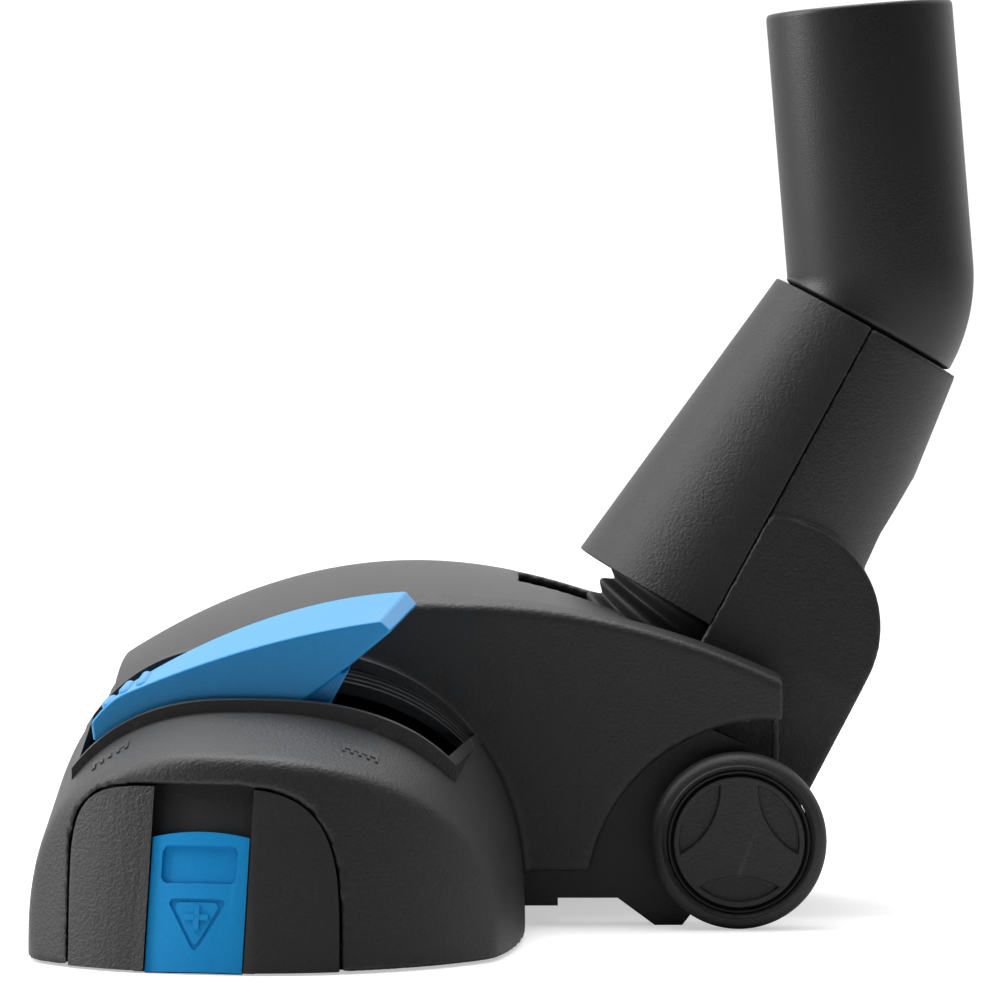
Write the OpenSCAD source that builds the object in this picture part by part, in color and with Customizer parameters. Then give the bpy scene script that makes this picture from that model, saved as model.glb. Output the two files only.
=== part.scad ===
// Switchable floor head of a suction cleaner: wide nozzle with a rocker pedal,
// tilting neck on two wheels and a swivelling wand socket. Millimetres.
// -X is the front of the nozzle, Y runs along its width, +Z is up, z = 0 is the floor.

/* [Nozzle] */
// Front edge of the nozzle
nozzle_front = -96.4; // [-100:0.2:-92]
// Rear wall of the nozzle beside the bonnet
nozzle_rear = 1.2; // [-1:0.2:3]
// Height of the nozzle beside the bonnet
nozzle_top = 57.8; // [54:0.2:60]
// Fall of the top surface towards each end, per millimetre
end_fall = 0.27; // [0.2:0.005:0.3]
// Radius of each bowed end, seen from above
end_r = 55.5; // [54:0.5:58]
// Distance of the bowed ends' centres from the middle
end_centre_y = 80.3; // [80:0.1:84]
// Lean of the end faces towards the middle
end_draft = 14; // [8:1:16]
// Wall of the moulded shells
wall = 2.4; // [2:0.2:2.8]

/* [Bonnet] */
// Half width of the bonnet
bonnet_half_w = 50; // [49:0.5:52]
// Height of the bonnet on its centre line
bonnet_top = 72.8; // [70:0.2:74]
// Rear end of the bonnet's ears
bonnet_rear = 54.6; // [53:0.2:56]
// Half width of the slot for the neck
neck_slot_half_w = 33.6; // [33.4:0.2:34.6]

/* [Neck and wand socket] */
// Lean of the neck's axis from the vertical
neck_lean = 29; // [27:1:31]
// Length of the conical neck
neck_len = 68.5; // [66:0.5:70]
// Radius at the foot of the neck
neck_foot_r = 30; // [29:0.5:30]
// Radius at the top of the neck
neck_top_r = 21.5; // [21:0.1:22]
// Radius of the wand tube
tube_r = 19.8; // [19.6:0.1:20]
// Bore of the wand socket
socket_r = 17.6; // [17.5:0.05:17.7]
// Depth of the wand socket
socket_depth = 48; // [40:1:50]
// Bend between the neck and the wand tube
elbow_bend = 33.8; // [30:0.2:36]

/* [Wheels] */
// Radius of the wheels
wheel_r = 18; // [17:0.5:18]
// Width of the wheels
wheel_w = 9.4; // [8:0.2:10]
// Radius of the stub axles
axle_r = 3; // [2.5:0.25:3]

/* [Pedal and brushes] */
// Near side of the pedal
pedal_y0 = -97; // [-97.5:0.1:-96.5]
// Width of the pedal
pedal_w = 37; // [36.5:0.1:37.2]
// Travel of the brush frame
brush_travel = 7; // [6:0.5:7]

/* [Hidden] */
eps = 0.01;
gap = 0.3;
round_fn = 64;

// Colours
c_shell = [0.19, 0.19, 0.20];
c_dark = [0.12, 0.12, 0.13];
c_blue = [0.06, 0.50, 0.84];
c_steel = [0.75, 0.75, 0.76];

// Nozzle: plan outline and cross-sections
nozzle_mid = -56;
hem_z = 0.4;
squareness = [2.4, 2.4];
front_bend_y = 104;
front_bend_x = 15;
rear_bend_y = 63;
rear_bend_x = 17.2;
end_x = -50;
end_lean = 3;
corner_y = 128.5;
fall_from_y = 64;
arch_steps = 24;
half_y = [64, 84, 96, 104, 110, 116, 121, 125, 128.5, 140];
plan_y = [for (i = [-35:35]) i * 4];
loft_y = concat([for (i = [len(half_y) - 1:-1:0]) -half_y[i]], half_y);

// Inner arch of the end cap and the slider's track
cap_x = -61;
cap_half_w = 26.7;
cap_top = 35.5;
cap_squareness = [5.5, 3.4];
cap_t = 2.6;
slider_x = -12.6;
slider_w = 18.8;
slider_top = 27.5;
slider_travel = 7.6;

// Bonnet
bonnet_foot = 11.3;
bonnet_x = [-86.2, -83.6, -78, -70, -60, -48, -36, -24, -12, 0, 12, 24, 34, 44, 54.6];
arch_x = 51.4;
arch_z = 4.8;
arch_r = 37.5;
slot_front = 22;
hose_gap_front = 0;
hose_gap_half_w = 20;

// Pedal slot
slot_y0 = -99.2;
slot_y1 = -58;
slot_x0 = -86.6;
slot_x1 = -9;
slot_skew = 5;
collar_t = 1.7;

// Neck
wheel_x = 44.9;
foot = [40.7, 0, 62.6];
knee_x = 53.1;
knee_z = 60.4;
knee_r = 22.4;
hub_boss_r = 10;
cheek_y = 29.6;
cheek_t = 3;
elbow_r = 20.2;
spigot_r = 19;
spigot_start = 52;
passage_r = 16.2;
tube_len = 55.6;
clip_z = 60;

// Wheels and arms
wheel_y = 47.4;
arm_y = 39.2;
arm_t = 7.4;

// Pedal
pivot_x = -52;
pivot_z = 36.7;
pivot_r = 2;
pedal_throw = 22;
crank = brush_travel / sin(pedal_throw);

// Sole
sole_t = 1;
sole_inset = 6;
base_t = 3;
base_inset = 3.6;
mouth = [-74, -46];
mouth_half = 112;
front_slot = [-88.2, -80];
rear_slot = [-41, -31];
slot_half = 111;
duct_top = 17;
throat_rise = 8;
hose_turn = 53;
throat_r = 21;
hose_turn_r = 52;
throat = [foot[0] - hose_turn_r * (sin(throat_rise + hose_turn) - sin(throat_rise)), 0,
    foot[2] - hose_turn_r * (cos(throat_rise) - cos(throat_rise + hose_turn))];
hose_r = 21;

// Small parts
lint_x = [-77, -43.5];
brush_x = [-84.1, -35];
lip_x = -39;
tufts = 34;
screw_r = 1.5;
screw_head_r = 2.7;
hub_r = 14.7;
cap_r = 13.4;
tyre_round = 2.2;

function ellipse_in(t) = 1 - sqrt(max(0, 1 - t * t));
function past(y, from, to) = min(1, max(0, (abs(y) - from) / (to - from)));
function front_x(y) = nozzle_front + front_bend_x * ellipse_in(past(y, front_bend_y, corner_y));
function rear_x(y) = nozzle_rear - rear_bend_x * ellipse_in(past(y, rear_bend_y, corner_y));
function top_z(y) = nozzle_top - end_fall * max(0, abs(y) - fall_from_y);
function pow_s(v, p) = sign(v) * pow(abs(v), p);

// Closed arch in X and Z: a superellipse on a straight foot, with one power ahead of its middle and one behind.
function arch(x0, x1, xc, z0, zc, h, n, steps) = concat([[x0, z0]],
    [for (i = [0:steps])
        let (a = 180 - 180 * i / steps, p = 2 / n[a > 90 ? 0 : 1], c = pow_s(cos(a), p), s = pow_s(sin(a), p))
        [xc + c * (c < 0 ? xc - x0 : x1 - xc), zc + (h - zc) * s]],
    [[x1, z0]]);
function section(y, inset, z0, top) =
    arch(front_x(y) + inset, rear_x(y) - inset, nozzle_mid, z0, 3, top, squareness, arch_steps);

function reversed(v) = [for (i = [len(v) - 1:-1:0]) v[i]];

// Bonnet heights along its length
function bonnet_edge(x) = x > -12 ? 66.6 - 0.00357 * pow(x + 12, 2)
    : bonnet_mid(x) - 5.7 - 1.5 * min(1, (-12 - x) / 48);
function bonnet_mid(x) = x < -84 ? 47 : max(bonnet_top - 0.0052 * pow(x + 22, 2), x > -12 ? bonnet_edge(x) : 0);
function bonnet_section(x, inset, z0) = let (w = bonnet_half_w - inset, e = bonnet_edge(x), m = bonnet_mid(x), r = 3)
    concat([[-w, z0], [-w, e - inset - r], [-w + 0.3 * r, e - inset - 0.3 * r]],
        [for (i = [0:8]) let (y = -w + r + (2 * w - 2 * r) * i / 8) [y, e - inset + (m - e) * (1 - pow(y / w, 2))]],
        [[w - 0.3 * r, e - inset - 0.3 * r], [w, e - inset - r], [w, z0]]);

// Solid through a row of outlines, each listed clockwise as seen along the row.
module skin(rings) {
    n = len(rings[0]);
    last = len(rings) - 1;
    polyhedron(points = [for (r = rings) each r], faces = concat(
        [[for (i = [0:n - 1]) i]],
        [for (k = [0:last - 1], i = [0:n - 1], half = [0:1])
            let (a = k * n, j = (i + 1) % n)
                half == 0 ? [a + i, a + n + i, a + n + j] : [a + i, a + n + j, a + j]],
        [[for (i = [n - 1:-1:0]) last * n + i]]));
}
// Prism along Y from an outline in X and Z.
module along_y(y0, y1) {
    translate([0, y1, 0])
        rotate([90, 0, 0])
            linear_extrude(y1 - y0)
                children();
}
module at_axle(s) {
    translate([wheel_x, 0, wheel_r])
        rotate([-s * 90, 0, 0])
            children();
}
module end_frame(s) {
    translate([end_x, s * end_centre_y, 0])
        rotate([s * end_draft, end_lean, 0])
            translate([0, 0, -end_r * tan(end_draft)])
                children();
}

// Nozzle outline seen from above, drawn in by an inset
module plan(inset) {
    intersection() {
        polygon(concat([for (y = plan_y) [front_x(y) + inset, y]],
            [for (y = reversed(plan_y)) [rear_x(y) - inset, y]]));
        union() {
            translate([nozzle_front - 1, -end_centre_y])
                square([nozzle_rear - nozzle_front + 2, 2 * end_centre_y]);
            for (s = [-1, 1])
                translate([end_x, s * end_centre_y])
                    circle(end_r - inset, $fn = 120);
        }
    }
}
module nozzle_loft(inset, z0) {
    skin([for (y = loft_y) [for (p = section(y, inset, z0, top_z(y) - inset)) [p[0], y, p[1]]]]);
}
module end_limits(inset) {
    hull()
        for (s = [-1, 1])
            end_frame(s)
                translate([0, 0, -20])
                    cylinder(h = 100, r = end_r - inset, $fn = 120);
}
module nozzle_body(inset, z0) {
    intersection() {
        nozzle_loft(inset, z0);
        end_limits(inset);
    }
}
module bonnet_body(inset, z0) {
    skin([for (x = bonnet_x) let (at = min(max(x, bonnet_x[0] + inset), bonnet_rear - inset))
        [for (p = reversed(bonnet_section(x, inset, z0))) [at, p[0], p[1]]]]);
}
module pedal_slot_plan(grow) {
    polygon([[slot_x0 - grow, slot_y0 - grow], [slot_x1 - slot_skew + grow, slot_y0 - grow],
        [slot_x1 + grow, slot_y1 + grow], [slot_x0 - grow, slot_y1 + grow]]);
}
module pedal_collar() {
    intersection() {
        linear_extrude(80)
            pedal_slot_plan(collar_t);
        skin([for (y = [slot_y0 - collar_t, slot_y1 + collar_t])
            [for (p = section(y, 0, 0, y < -80 ? top_z(y) + 3 : nozzle_top)) [p[0], y, p[1]]]]);
    }
}
module cap_outline(inset) {
    polygon(arch(cap_x - cap_half_w + inset, cap_x + cap_half_w - inset, cap_x, -1, 3, cap_top - inset,
        cap_squareness, 20));
}

module upper_housing() {
    color(c_shell)
        difference() {
            union() {
                nozzle_body(0, hem_z);
                bonnet_body(0, bonnet_foot);
                pedal_collar();
            }
            nozzle_body(wall, -1);
            difference() {
                bonnet_body(wall, -1);
                for (s = [-1, 1])
                    translate([slot_front - 2, s > 0 ? neck_slot_half_w : -neck_slot_half_w - 2, 44])
                        cube([70, 2, 40]);
            }
            translate([0, 0, 25])
                linear_extrude(60)
                    pedal_slot_plan(0);
            translate([slot_front, -neck_slot_half_w, -1])
                cube([70, 2 * neck_slot_half_w, 100]);
            translate([hose_gap_front, -hose_gap_half_w, 40])
                cube([30, 2 * hose_gap_half_w, 60]);
            for (s = [-1, 1])
                along_y(s > 0 ? 34 : -52, s > 0 ? 52 : -34)
                    translate([arch_x, arch_z])
                        circle(arch_r, $fn = 96);
            for (s = [-1, 1])
                along_y(s > 0 ? 100 : -145, s > 0 ? 145 : -100)
                    cap_outline(0);
        }
}

module end_cap(s) {
    color(c_dark)
        difference() {
            intersection() {
                nozzle_body(0.2, hem_z);
                along_y(s > 0 ? 100 : -145, s > 0 ? 145 : -100)
                    cap_outline(gap);
            }
            intersection() {
                nozzle_body(0.2 + cap_t, -1);
                end_limits(cap_t + 0.8);
            }
            end_frame(s)
                translate([slider_x - slider_w / 2 - gap, s > 0 ? end_r - 18 : -end_r - 2, -10])
                    cube([slider_w + 2 * gap, 20, slider_top + slider_travel + 10.4]);
        }
}
module end_shutter_plate(s, t0, t1, z0, z1, w) {
    end_frame(s)
        intersection() {
            difference() {
                translate([0, 0, z0])
                    cylinder(h = z1 - z0, r = end_r - t0, $fn = 120);
                translate([0, 0, z0 - 1])
                    cylinder(h = z1 - z0 + 2, r = end_r - t1, $fn = 120);
            }
            translate([slider_x - w / 2, s > 0 ? 0 : -end_r - 1, z0])
                cube([w, end_r + 1, z1 - z0]);
        }
}
module slider(s) {
    color(c_blue)
        difference() {
            end_shutter_plate(s, 0.3, 3, hem_z, slider_top, slider_w);
            end_frame(s)
                translate([slider_x - 7.2, s > 0 ? end_r - 2.6 : -end_r - 2.4, slider_top - 10])
                    cube([14.4, 5, 7.4]);
            end_frame(s)
                translate([slider_x, s > 0 ? end_r - 1.2 : -end_r - 3.8, 0])
                    along_y(0, 5)
                        polygon([[-4.6, 14.3], [4.6, 14.3], [0, 5.3]]);
        }
}
module slider_springs() {
    color(c_steel)
        for (s = [-1, 1])
            end_shutter_plate(s, 3.3, 3.7, 10, 27, 6);
}

module glide_plate() {
    color(c_steel)
        difference() {
            linear_extrude(sole_t)
                difference() {
                    plan(sole_inset);
                    sole_openings();
                    for (x = lint_x)
                        translate([x - 2.2, -105])
                            square([4.4, 210]);
                }
            screw_holes(base_screw_at, 2);
            screw_holes(chassis_screw_at, 2);
        }
}
module sole_openings() {
    for (r = [[mouth, mouth_half], [front_slot, slot_half], [rear_slot, slot_half]])
        translate([r[0][0], -r[1]])
            square([r[0][1] - r[0][0], 2 * r[1]]);
}
base_screw_at = [[-60, 120], [-60, -120], [-20, 60], [-20, -60], [-22, 100], [-22, -100]];
chassis_screw_at = [[-8, 20], [-8, -20], [-8, 38], [-8, -38]];
module base_plate() {
    color(c_dark)
        difference() {
            union() {
                translate([0, 0, sole_t])
                    linear_extrude(base_t)
                        difference() {
                            plan(base_inset);
                            sole_openings();
                        }
                translate([0, 0, 0.3])
                    linear_extrude(sole_t)
                        difference() {
                            plan(base_inset);
                            plan(sole_inset - 0.1);
                        }
                for (p = base_screw_at)
                    translate([p[0], p[1], sole_t + base_t - eps])
                        cylinder(h = 14, r = 3.4, $fn = round_fn);
            }
            screw_holes(base_screw_at, 13);
            screw_holes(chassis_screw_at, 4);
        }
}
module screw_holes(at, depth) {
    for (p = at)
        translate([p[0], p[1], 0]) {
            translate([0, 0, -1])
                cylinder(h = depth + 2.2, r = screw_r + 0.02, $fn = round_fn);
            translate([0, 0, -1])
                cylinder(h = 3, r = screw_head_r + 0.2, $fn = round_fn);
        }
}
module screws(at, depth) {
    for (p = at)
        translate([p[0], p[1], 0.3])
            difference() {
                union() {
                    cylinder(h = 1.65, r = screw_head_r, $fn = round_fn);
                    cylinder(h = depth, r = screw_r, $fn = round_fn);
                }
                for (a = [0, 90])
                    rotate([0, 0, a])
                        translate([-1.6, -0.35, -1])
                            cube([3.2, 0.7, 1.8]);
            }
}
module base_screws() {
    color(c_steel)
        screws(base_screw_at, 12);
}
module chassis_screws() {
    color(c_steel)
        screws(chassis_screw_at, 5.5);
}

module lint_strips() {
    color([0.55, 0.10, 0.10])
        for (x = lint_x)
            translate([x - 2, -104.8, 0.1])
                cube([4, 209.6, sole_t - 0.1]);
}

// Channel over the mouth with a rise to the round throat; it also carries the pedal's bearings.
module suction_duct() {
    color(c_dark)
        difference() {
            union() {
                translate([mouth[0] - 2, -mouth_half - 2, sole_t + base_t])
                    cube([mouth[1] - mouth[0] + 4, 2 * mouth_half + 4, duct_top - sole_t - base_t]);
                duct_rise(0, 14, throat_r);
                for (y = [pedal_y0 - 3.6, pedal_y0 + pedal_w + 0.6])
                    along_y(y, y + 3)
                        polygon([[pivot_x - 9, duct_top - 1], [pivot_x + 6, duct_top - 1],
                            [pivot_x + 4, pivot_z + 3.5], [pivot_x - 4, pivot_z + 3.5]]);
            }
            translate([mouth[0], -mouth_half, 0])
                cube([mouth[1] - mouth[0], 2 * mouth_half, duct_top - 2]);
            duct_rise(2, 16, throat_r - 2);
            translate([mouth[0] + 4, -24, 10])
                cube([mouth[1] - mouth[0] - 6, 48, 10]);
            pedal_axle_shape(pivot_r + 0.02, 60);
        }
}
module duct_rise(inset, z0, r) {
    hull() {
        translate([mouth[0] + 2 + inset, -26 + inset, z0])
            cube([mouth[1] - mouth[0] - 2 - 2 * inset, 52 - 2 * inset, 44 - inset - z0]);
        translate(throat)
            rotate([0, 90 - throat_rise, 0])
                translate([0, 0, -6])
                    cylinder(h = 6 + (inset > 0 ? 1 : 0), r = r, $fn = 48);
    }
}
module pedal_axle_shape(r, length) {
    translate([pivot_x, pedal_y0 + pedal_w / 2, pivot_z])
        rotate([90, 0, 0])
            cylinder(h = length, r = r, center = true, $fn = round_fn);
}

module rear_chassis() {
    color(c_dark)
        difference() {
            union() {
                translate([-14, -46.6, sole_t + base_t])
                    cube([22, 93.2, 3.6]);
                for (s = [-1, 1])
                    along_y(s > 0 ? arm_y : -arm_y - arm_t, s > 0 ? arm_y + arm_t : -arm_y)
                        polygon([[-14, 4], [4, 4], [5.9, 5.6], [20.3, 5.6], [27.9, 0], [33.6, 0], [39, 7],
                            [50, 9], [52, 12], [52, 27], [47, 37], [38, 41], [-6, 41], [-14, 34]]);
            }
            screw_holes(chassis_screw_at, 5);
            for (s = [-1, 1])
                at_axle(s)
                    cylinder(h = 60, r = axle_r + 0.02, $fn = round_fn);
        }
}
module axle(s) {
    color(c_steel)
        at_axle(s)
            difference() {
                union() {
                    translate([0, 0, cheek_y - 2])
                        cylinder(h = 1.9, r = 5, $fn = round_fn);
                    translate([0, 0, cheek_y - 2])
                        cylinder(h = wheel_y + 7.4 - cheek_y + 2, r = axle_r, $fn = round_fn);
                }
                translate([0, 0, wheel_y + 6])
                    groove_ring(axle_r - 0.6, axle_r + 1, 0.8);
            }
}
module groove_ring(r0, r1, h) {
    difference() {
        cylinder(h = h, r = r1, $fn = round_fn);
        translate([0, 0, -1])
            cylinder(h = h + 2, r = r0, $fn = round_fn);
    }
}
module axle_clip(s) {
    color(c_steel)
        at_axle(s)
            translate([0, 0, wheel_y + 6.05])
                difference() {
                    cylinder(h = 0.7, r = 5, $fn = round_fn);
                    translate([0, 0, -1])
                        cylinder(h = 3, r = axle_r - 0.55, $fn = round_fn);
                    translate([0, -1.9, -1])
                        cube([8, 3.8, 3]);
                }
}

module wheel_tyre(s) {
    color([0.10, 0.10, 0.10])
        at_axle(s)
            translate([0, 0, wheel_y])
                rotate_extrude($fn = 120)
                    difference() {
                        union() {
                            translate([hub_r, 0])
                                square([wheel_r - tyre_round - hub_r, wheel_w]);
                            translate([hub_r, tyre_round])
                                square([wheel_r - hub_r, wheel_w - 2 * tyre_round]);
                            for (z = [tyre_round, wheel_w - tyre_round])
                                translate([wheel_r - tyre_round, z])
                                    circle(tyre_round, $fn = 48);
                        }
                        translate([0, -1])
                            square([hub_r + 0.02, wheel_w + 2]);
                        translate([hub_r - 1, wheel_w - 0.5])
                            square([1.4, 1]);
                    }
}
module wheel_hub(s) {
    color(c_dark)
        at_axle(s)
            translate([0, 0, wheel_y])
                difference() {
                    cylinder(h = wheel_w - 0.5, r = hub_r, $fn = 120);
                    translate([0, 0, -1])
                        cylinder(h = wheel_w + 2, r = axle_r + 0.04, $fn = round_fn);
                    translate([0, 0, wheel_w - 2])
                        cylinder(h = 4, r = cap_r + 0.02, $fn = 120);
                    translate([0, 0, 5.9])
                        cylinder(h = 4, r = 5.6, $fn = round_fn);
                    translate([0, 0, -1])
                        groove_ring(6, 12.4, 5);
                }
}
module wheel_cap(s) {
    color(c_dark)
        at_axle(s)
            translate([0, 0, wheel_y + wheel_w - 2])
                difference() {
                    cylinder(h = 1.8, r = cap_r, $fn = 120);
                    for (a = [0, 120, 240])
                        rotate([0, 0, s * 90 + a])
                            translate([0, 0, 1])
                                intersection() {
                                    cylinder(h = 2, r = 12, $fn = 96);
                                    translate([22.1, 0, 0])
                                        cylinder(h = 2, r = 15.2, $fn = 96);
                                }
                }
}

// Height of the pedal's curved tread
function tread_top(x) = let (u = x + 78) 51.3 + 0.605 * u - (u < 0 ? 0.07 : 0.005) * u * u;
tread_x = [-84.5, -82.5, -80, -77, -72, -66, -60, -54, -48, -42, -36, -30, -25, -22.4];
module pedal() {
    color(c_blue)
        difference() {
            union() {
                along_y(pedal_y0, pedal_y0 + pedal_w)
                    polygon(concat([for (x = tread_x) [x, tread_top(x)]],
                        [[-20.6, 67.4], [-26.5, 62.0], [-31, 58], [-38, 53.3], [-47, 49.3], [-60, 46.3], [-72, 43.3], [-84, 41.7]]));
                for (i = [0:2])
                    along_y(pedal_y0 + 4, pedal_y0 + pedal_w - 4)
                        translate([-81.5 + 3.6 * i, tread_top(-81.5 + 3.6 * i)])
                            circle(0.7, $fn = 24);
                for (y = [pedal_y0 + 0.6, pedal_y0 + pedal_w - 6.6])
                    along_y(y, y + 6) {
                        polygon([[pivot_x - 9, 47.3], [pivot_x - 4.5, pivot_z - 1], [pivot_x + 4.5, pivot_z - 1],
                            [pivot_x + 12, 53.1]]);
                        translate([pivot_x, pivot_z])
                            circle(5, $fn = round_fn);
                    }
                along_y(pedal_y0 + 2, pedal_y0 + 6) {
                    polygon([[pivot_x, pivot_z + 3], [pivot_x + crank, pivot_z + 2],
                        [pivot_x + crank, pivot_z - 2], [pivot_x, pivot_z - 4]]);
                    translate([pivot_x + crank, pivot_z])
                        circle(2.2, $fn = round_fn);
                }
            }
            pedal_axle_shape(pivot_r + 0.04, 60);
        }
}
module pedal_axle() {
    color(c_steel)
        pedal_axle_shape(pivot_r, pedal_w + 6);
}
module pedal_spring() {
    color(c_steel)
        translate([pivot_x, pedal_y0 + pedal_w / 2 + 4, pivot_z])
            rotate([90, 0, 0])
                linear_extrude(8, twist = 1800, slices = 60)
                    translate([3, 0])
                        circle(0.45, $fn = 6);
}

module brush_frame() {
    color(c_dark)
        difference() {
            union() {
                for (r = [front_slot, rear_slot])
                    translate([r[0] + 0.5, -slot_half + 0.8, 6])
                        cube([r[1] - r[0] - 1, 2 * slot_half - 1.6, 6]);
                for (y = [-108, -50, 46, 104]) {
                    translate([front_slot[0] + 0.8, y, 24.6])
                        cube([rear_slot[1] - front_slot[0] - 1.6, 4, 3]);
                    for (x = [front_slot[0] + 0.8, rear_slot[1] - 4.8])
                        translate([x, y, 11])
                            cube([4, 4, 16.6]);
                }
                translate([pivot_x + crank - 3, pedal_y0 + 0.5, 11])
                    cube([4.7, 7, pivot_z - 2.4 - 11]);
            }
            for (x = brush_x)
                translate([x - 2, -slot_half, 5])
                    cube([4, 2 * slot_half, 4]);
            translate([lip_x - 0.7, -slot_half, 5])
                cube([1.4, 2 * slot_half, 4]);
        }
}
module brush_strip(x) {
    color([0.25, 0.25, 0.27]) {
        translate([x - 1.98, -slot_half + 1, 5.4])
            cube([3.96, 2 * slot_half - 2, 3.58]);
        for (i = [0:tufts - 1])
            translate([x - 1.3, -slot_half + 3 + i * (2 * slot_half - 9) / (tufts - 1), 1.2])
                cube([2.6, 3, 4.4]);
    }
}
module squeegee_lip() {
    color([0.08, 0.08, 0.08])
        translate([lip_x - 0.68, -slot_half + 1, 1.2])
            cube([1.36, 2 * slot_half - 2, 7.78]);
}

module neck_frame() {
    translate(foot)
        rotate([0, neck_lean, 0])
            children();
}
module hose_path() {
    translate(throat)
        rotate([0, 90 - throat_rise, 0])
            translate([-hose_turn_r, 0, 0])
                rotate([90, 0, 0])
                    children();
}
module flexible_hose() {
    color([0.07, 0.07, 0.07]) {
        hose_path()
            rotate_extrude(angle = hose_turn, $fn = 96)
                translate([hose_turn_r, 0])
                    difference() {
                        circle(hose_r, $fn = 64);
                        circle(hose_r - 2, $fn = 64);
                    }
        for (i = [1:8])
            hose_path()
                rotate([0, 0, i * hose_turn / 9.6])
                    translate([hose_turn_r, 0, 0])
                        rotate([90, 0, 0])
                            translate([0, 0, -1])
                                groove_ring(hose_r - 0.5, hose_r + 1.6, 2);
        neck_frame()
            translate([0, 0, -0.5])
                groove_ring(hose_r - 1.5, hose_r + 0.5, 8.5);
    }
}
module hose_ring() {
    color(c_dark)
        neck_frame()
            translate([0, 0, 3])
                groove_ring(hose_r + 0.54, neck_r(7) - wall - 0.1, 4);
}

function neck_r(l) = neck_foot_r - (neck_foot_r - neck_top_r) * l / neck_len;
module neck_cone(inset, l0, l1) {
    neck_frame()
        translate([0, 0, l0])
            cylinder(h = l1 - l0, r1 = neck_r(l0) - inset, r2 = neck_r(l1) - inset, $fn = 96);
}
module neck_hollow() {
    neck_cone(wall, -3, clip_z);
    neck_frame()
        translate([0, 0, clip_z - 1])
            cylinder(h = 20, r = spigot_r + 0.05, $fn = 96);
}
// Space in front of (side -1) or behind (side 1) the neck's parting plane.
module neck_half(side) {
    neck_frame()
        translate([side > 0 ? 0.02 : -80.02, -60, -60])
            cube([80, 120, 160]);
}
// Places of the neck's screws: height along the axis and distance to the side
neck_screw_at = [[28, 21.2], [46, 18.8]];
module at_neck_screws(from) {
    for (p = neck_screw_at, s = [-1, 1])
        neck_frame()
            translate([from, s * p[1], p[0]])
                rotate([0, 90, 0])
                    children();
}
module neck_front_shell() {
    color(c_shell)
        difference() {
            union() {
                difference() {
                    intersection() {
                        neck_cone(0, -2, neck_len);
                        neck_half(-1);
                    }
                    neck_hollow();
                }
                at_neck_screws(-8)
                    cylinder(h = 7.98, r = 3.4, $fn = round_fn);
            }
            at_neck_screws(-6)
                cylinder(h = 10, r = screw_r + 0.02, $fn = round_fn);
        }
}
module neck_rear_shell() {
    color(c_shell)
        difference() {
            union() {
                difference() {
                    neck_rear_solid();
                    neck_hollow();
                    along_y(-cheek_y, cheek_y) {
                        translate([knee_x, knee_z])
                            circle(knee_r - wall, $fn = 96);
                        translate([-20, -20])
                            square([78, knee_z + 17.2]);
                    }
                    for (s = [-1, 1])
                        at_axle(s)
                            cylinder(h = 60, r = axle_r + 0.04, $fn = round_fn);
                }
                intersection() {
                    at_neck_screws(0.02)
                        cylinder(h = 20, r = 3.9, $fn = round_fn);
                    neck_cone(1, -2, neck_len);
                }
            }
            at_neck_screws(-1)
                cylinder(h = 10, r = screw_r + 0.02, $fn = round_fn);
            at_neck_screws(5)
                cylinder(h = 30, r = screw_head_r + 0.2, $fn = round_fn);
        }
}
module neck_rear_solid() {
    intersection() {
        union() {
            neck_cone(0, -2, neck_len);
            along_y(-cheek_y - cheek_t, cheek_y + cheek_t)
                translate([knee_x, knee_z])
                    circle(knee_r, $fn = 96);
        }
        neck_half(1);
    }
    intersection() {
        for (s = [-1, 1])
            along_y(s > 0 ? cheek_y : -cheek_y - cheek_t, s > 0 ? cheek_y + cheek_t : -cheek_y)
                hull() {
                    translate([wheel_x, wheel_r])
                        circle(hub_boss_r, $fn = 48);
                    translate([knee_x + 4, knee_z])
                        circle(knee_r - 4, $fn = 48);
                }
        neck_half(1);
    }
}
module neck_screws() {
    color(c_steel)
        difference() {
            union() {
                at_neck_screws(-5)
                    cylinder(h = 11, r = screw_r, $fn = round_fn);
                at_neck_screws(5.05)
                    cylinder(h = 1.6, r = screw_head_r, $fn = round_fn);
            }
            at_neck_screws(6)
                for (a = [0, 90])
                    rotate([0, 0, a])
                        translate([-1.6, -0.35, 0])
                            cube([3.2, 0.7, 2]);
        }
}

module swivel_clip() {
    color(c_steel)
        neck_frame()
            translate([0, 0, clip_z - 3.4])
                difference() {
                    groove_ring(spigot_r - 0.78, spigot_r + 0.9, 1.6);
                    translate([0, -1.5, -1])
                        cube([30, 3, 4]);
                }
}
module swivel_seal() {
    color([0.30, 0.08, 0.08])
        neck_frame()
            translate([0, 0, clip_z + 3.02])
                groove_ring(spigot_r - 0.78, spigot_r, 1.96);
}
module swivel_elbow() {
    color(c_dark) {
        neck_frame()
            difference() {
                translate([0, 0, spigot_start])
                    cylinder(h = neck_len + 1.5 - spigot_start, r = spigot_r, $fn = 96);
                translate([0, 0, spigot_start - 1])
                    cylinder(h = 30, r = passage_r, $fn = 96);
                translate([0, 0, clip_z - 3.5])
                    groove_ring(spigot_r - 0.8, spigot_r + 1, 1.8);
                translate([0, 0, clip_z + 3])
                    groove_ring(spigot_r - 0.8, spigot_r + 1, 2);
            }
        elbow_start()
            rotate([90, 0, 0])
                rotate_extrude(angle = elbow_bend, $fn = 96)
                    translate([elbow_r, 0])
                        difference() {
                            circle(tube_r - 0.1, $fn = 96);
                            circle(passage_r + 0.1, $fn = 96);
                        }
    }
}
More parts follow.
